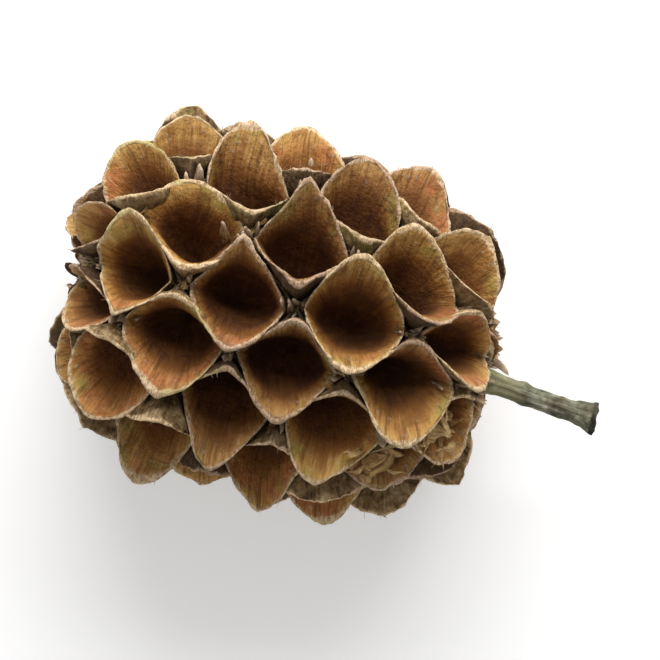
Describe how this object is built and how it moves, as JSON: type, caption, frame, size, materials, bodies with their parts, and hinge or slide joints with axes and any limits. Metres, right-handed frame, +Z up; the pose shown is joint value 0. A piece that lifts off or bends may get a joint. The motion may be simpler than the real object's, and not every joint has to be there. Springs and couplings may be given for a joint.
{
  "type": "casuarina cone",
  "caption": "Woody casuarina cone lying on its side, its seed chambers gaping in paired valves, on a short cut stalk.",
  "frame": {"origin": "middle of the cone's bounding box, on the surface that it rests on", "axes": "+Z up, +X along the head from its blunt tip to the cut end of the stalk"},
  "size_m": [0.0258, 0.0174, 0.0171],
  "materials": {
    "head_wood": "dry woody valves, satin brown inside with pale tan rims",
    "stalk_bark": "matte grey-green bark"
  },
  "bodies": {
    "root": {"cone_head": "head_wood", "stalk": "stalk_bark"}
  },
  "joints": []
}
